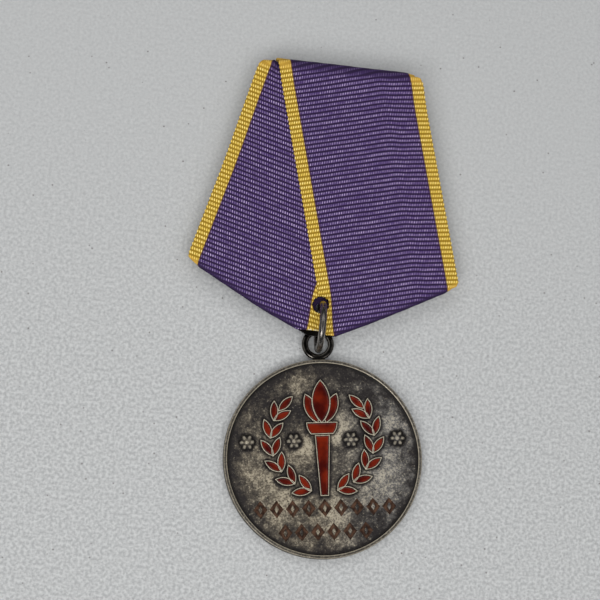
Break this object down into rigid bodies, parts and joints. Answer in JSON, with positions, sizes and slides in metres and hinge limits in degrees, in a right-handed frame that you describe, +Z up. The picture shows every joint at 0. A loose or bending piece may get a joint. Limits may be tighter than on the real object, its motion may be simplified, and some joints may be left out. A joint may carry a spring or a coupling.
{
  "type": "award medal",
  "caption": "Round silver medal with red enamel on a wire ring, hung from a five-sided mount with a folded violet ribbon and a brooch pin.",
  "frame": {"origin": "middle of the footprint, on the surface that the medal lies on", "axes": "+Z up out of the obverse, +Y towards the top of the mount"},
  "size_m": [0.0472, 0.0854, 0.009],
  "materials": {
    "medal_silver": "oxidised silver, worn bright on the raised edges",
    "ring_metal": "dark oxidised wire",
    "mount_metal": "dull sheet",
    "rivet_metal": "dull",
    "needle_steel": "drawn spring wire",
    "ribbon": "ribbed moire weave, violet with yellow edge stripes",
    "red_enamel": "glossy fired enamel",
    "dark_enamel": "worn fired enamel"
  },
  "bodies": {
    "mount": {"former_plate": "mount_metal", "ribbon_left_run": "ribbon", "ribbon_right_run": "ribbon", "ribbon_back_run": "ribbon", "back_plate": "mount_metal", "hinge_bracket": "mount_metal", "hinge_rivet": "rivet_metal", "catch_hook": "mount_metal"},
    "pin": {"brooch_needle": "needle_steel"},
    "ring": {"suspension_ring": "ring_metal"},
    "medal": {"medal_disc": "medal_silver", "medal_loop": "ring_metal", "flame_enamel": "red_enamel", "torch_enamel": "red_enamel", "laurel_enamel_left": "red_enamel", "laurel_enamel_right": "red_enamel", "border_enamel_upper": "dark_enamel", "border_enamel_lower": "dark_enamel"}
  },
  "joints": [
    {"name": "pin_swing", "type": "hinge", "parent": "mount", "child": "pin", "pos_m": [-0.01225, 0.03093, 0.00117], "axis": [0, 0.999, 0.0452], "range_deg": [0, 80], "stiffness_Nm_per_rad": 0.002, "springref_deg": -6.88},
    {"name": "ring_swing", "type": "hinge", "parent": "mount", "child": "ring", "pos_m": [0, 0.0005, 0.0034], "axis": [0, -0.0452, 0.999], "range_deg": [-15, 15]},
    {"name": "medal_swing", "type": "hinge", "parent": "ring", "child": "medal", "pos_m": [0.0002, -0.00344, 0.0045], "axis": [-1, 0, 0], "range_deg": [0, 165]}
  ]
}
